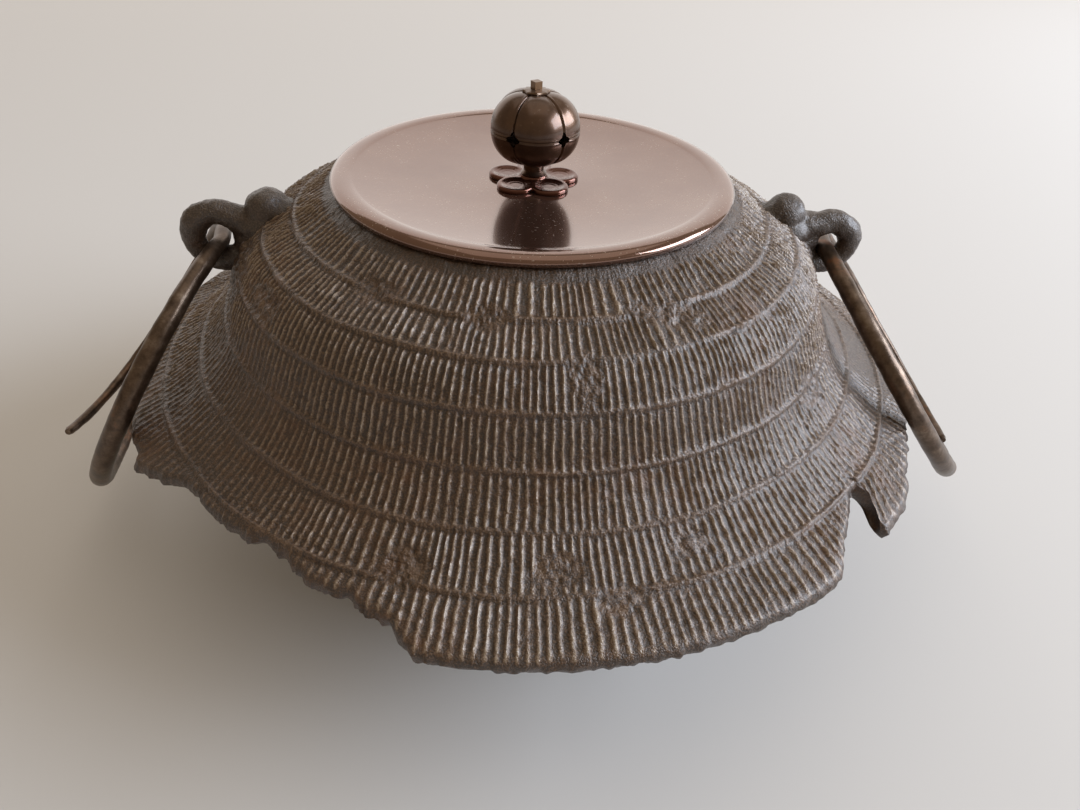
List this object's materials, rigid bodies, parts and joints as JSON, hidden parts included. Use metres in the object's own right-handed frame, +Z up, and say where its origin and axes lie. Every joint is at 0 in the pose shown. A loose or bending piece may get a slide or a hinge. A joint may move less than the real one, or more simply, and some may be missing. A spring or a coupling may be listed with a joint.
{
  "type": "tea kettle",
  "caption": "Low iron tea kettle with a straw cord pattern, a ragged flange, two ring handles and a shallow dished bronze lid with a pierced fruit knob.",
  "frame": {"origin": "centre of the flat bottom that the kettle stands on", "axes": "+Z up through the mouth and knob, X through the two lugs, -Y to the front"},
  "size_m": [0.3319, 0.268, 0.1564],
  "materials": {
    "cast_iron": "sand cast, aged, seasoned with lacquer",
    "bottom_iron": "sand cast, sooted",
    "lacquer_seam": "lacquer mixed with iron filings",
    "forged_iron": "forged, dark, rusted in places",
    "lid_bronze": "polished, red brown patina",
    "knob_bronze": "cast, chased, dark brown patina",
    "pin_bronze": "worn, lighter brown"
  },
  "bodies": {
    "kettle": {"upper_body": "cast_iron", "bottom_pot": "bottom_iron", "bottom_seam": "lacquer_seam", "singing_plates": "bottom_iron", "left_lug": "cast_iron", "right_lug": "cast_iron"},
    "lid": {"lid_plate": "lid_bronze", "flower_seat": "knob_bronze"},
    "knob": {"knob_lower_cup": "knob_bronze", "knob_upper_cap": "knob_bronze", "knob_calyx": "knob_bronze", "knob_pin": "pin_bronze", "lid_back_washer": "knob_bronze"},
    "ring_left": {"left_ring": "forged_iron"},
    "ring_right": {"right_ring": "forged_iron"}
  },
  "joints": [
    {"name": "lid_lift", "type": "slide", "parent": "kettle", "child": "lid", "axis": [0, 0, 1], "range_m": [0, 0.12]},
    {"name": "knob_turn", "type": "hinge", "parent": "lid", "child": "knob", "pos_m": [0, 0, 0.14], "axis": [0, 0, 1], "continuous": true},
    {"name": "left_ring_swing", "type": "hinge", "parent": "kettle", "child": "ring_left", "pos_m": [-0.0993, 0, 0.1048], "axis": [0, 1, 0], "range_deg": [0, 195]},
    {"name": "right_ring_swing", "type": "hinge", "parent": "kettle", "child": "ring_right", "pos_m": [0.0993, 0, 0.1048], "axis": [0, -1, 0], "range_deg": [0, 190]}
  ]
}
